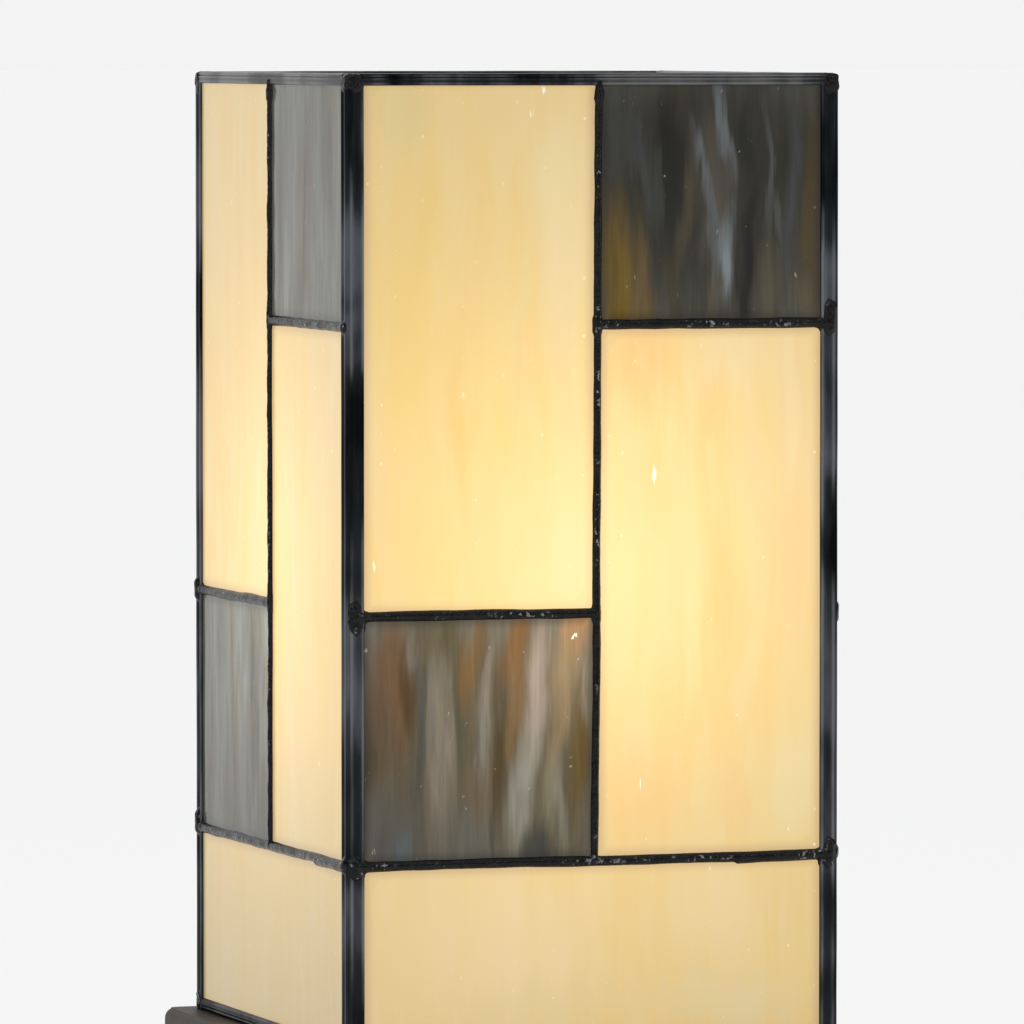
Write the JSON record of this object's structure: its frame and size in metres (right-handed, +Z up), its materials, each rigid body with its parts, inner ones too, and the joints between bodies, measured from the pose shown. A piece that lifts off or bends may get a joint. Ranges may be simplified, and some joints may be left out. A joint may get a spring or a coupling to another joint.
{
  "type": "table lamp",
  "caption": "Square column table lamp: four leaded glass panels on a stepped base, open on top, with a small bulb inside.",
  "frame": {"origin": "middle of the lamp's footprint, on the surface it stands on", "axes": "+Z up, -Y the front of the lamp, +Y the side the cord hole is on"},
  "size_m": [0.15, 0.15, 0.267],
  "materials": {
    "cream_glass": "opalescent sheet glass, cream with soft honey and peach streaks, lit from inside",
    "dark_glass": "opalescent sheet glass, streaky slate grey, taupe and olive brown",
    "blackened_solder": "hand-laid solder bead over copper foil, black patina, glossy wax",
    "patinated_came": "soldered metal came, blue-black patina, satin",
    "bronzed_base": "cast resin painted dark bronze brown, satin",
    "black_plate": "pressed steel, matt black paint",
    "zinc_steel": "zinc-plated steel",
    "foot_rubber": "moulded rubber",
    "black_bushing": "moulded nylon",
    "antique_brass": "dulled brass",
    "black_lampholder": "moulded phenolic plastic, satin",
    "holder_ceramic": "glazed steatite",
    "brass_contact": "stamped brass",
    "bulb_glass": "clear blown glass",
    "bulb_cap_metal": "pressed thin metal",
    "black_insulator": "black glass insulator",
    "tip_solder": "solder",
    "bulb_wire": "drawn wire"
  },
  "bodies": {
    "base": {"base_moulding": "bronzed_base", "base_cover_plate": "black_plate", "cover_screws": "zinc_steel", "rubber_feet": "foot_rubber", "cord_bushing": "black_bushing", "threaded_tube": "zinc_steel", "spacer_sleeve": "antique_brass", "seat_washer": "antique_brass", "lock_washer": "zinc_steel", "lock_nut": "zinc_steel", "lampholder_cap": "black_lampholder", "lampholder_skirt": "black_lampholder", "lampholder_insert": "holder_ceramic", "lampholder_screw_shell": "brass_contact", "lampholder_centre_contact": "brass_contact", "lampholder_terminals": "brass_contact", "lampholder_grub_screw": "zinc_steel"},
    "shade": {"front_upper_cream_pane": "cream_glass", "front_lower_dark_pane": "dark_glass", "front_upper_dark_pane": "dark_glass", "front_lower_cream_pane": "cream_glass", "front_bottom_cream_pane": "cream_glass", "front_solder_seams": "blackened_solder", "front_top_rail": "patinated_came", "front_bottom_rail": "patinated_came", "right_upper_cream_pane": "cream_glass", "right_lower_dark_pane": "dark_glass", "right_upper_dark_pane": "dark_glass", "right_lower_cream_pane": "cream_glass", "right_bottom_cream_pane": "cream_glass", "right_solder_seams": "blackened_solder", "right_top_rail": "patinated_came", "right_bottom_rail": "patinated_came", "back_upper_cream_pane": "cream_glass", "back_lower_dark_pane": "dark_glass", "back_upper_dark_pane": "dark_glass", "back_lower_cream_pane": "cream_glass", "back_bottom_cream_pane": "cream_glass", "back_solder_seams": "blackened_solder", "back_top_rail": "patinated_came", "back_bottom_rail": "patinated_came", "left_upper_cream_pane": "cream_glass", "left_lower_dark_pane": "dark_glass", "left_upper_dark_pane": "dark_glass", "left_lower_cream_pane": "cream_glass", "left_bottom_cream_pane": "cream_glass", "left_solder_seams": "blackened_solder", "left_top_rail": "patinated_came", "left_bottom_rail": "patinated_came", "front_left_corner_came": "patinated_came", "front_right_corner_came": "patinated_came", "back_right_corner_came": "patinated_came", "back_left_corner_came": "patinated_came"},
    "bulb": {"bulb_glass": "bulb_glass", "bulb_screw_cap": "bulb_cap_metal", "bulb_insulator": "black_insulator", "bulb_tip_contact": "tip_solder", "bulb_stem": "bulb_glass", "bulb_support_wires": "bulb_wire", "bulb_filament": "bulb_wire"}
  },
  "joints": [
    {"name": "shade_lift", "type": "slide", "parent": "base", "child": "shade", "axis": [0, 0, 1], "range_m": [0, 0.18]},
    {"name": "bulb_lift", "type": "slide", "parent": "base", "child": "bulb", "axis": [0, 0, 1], "range_m": [0, 0.19]}
  ]
}
